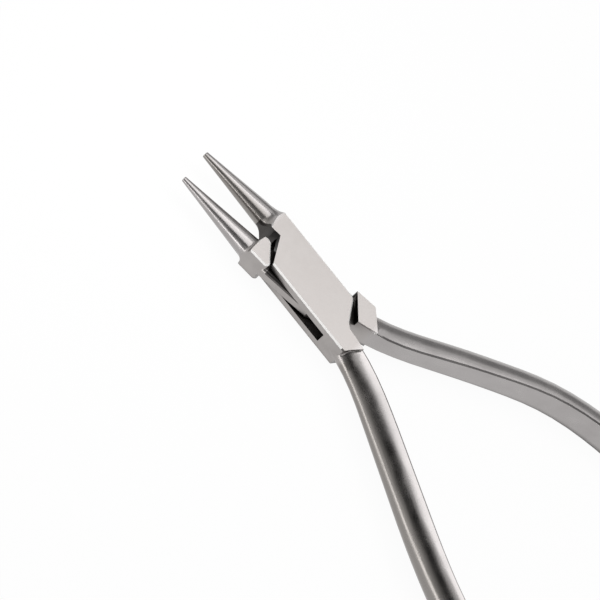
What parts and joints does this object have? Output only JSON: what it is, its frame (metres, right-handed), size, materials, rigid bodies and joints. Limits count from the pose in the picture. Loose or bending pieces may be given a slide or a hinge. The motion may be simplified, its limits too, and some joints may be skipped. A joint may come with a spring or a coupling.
{
  "type": "orthodontic pliers",
  "caption": "Hand pliers for bending orthodontic wire, with slim conical beaks, a box joint held by a flush pin, and long bowed handles with flat inner faces.",
  "frame": {"origin": "on the pivot axis, at the back face of the box joint", "axes": "+Y along the closed jaw line towards the beaks, +Z along the pivot towards the front face, +X towards the beak of the box half"},
  "size_m": [0.0739, 0.1376, 0.0093],
  "materials": {
    "steel": "satin",
    "pin_steel": "satin"
  },
  "bodies": {
    "box": {"box_half": "steel", "pivot_pin": "pin_steel"},
    "tongue": {"tongue_half": "steel"}
  },
  "joints": [
    {"name": "pivot", "type": "hinge", "parent": "box", "child": "tongue", "pos_m": [0, 0, 0.00375], "axis": [0, 0, 1], "range_deg": [-11.25, 18.75]}
  ]
}
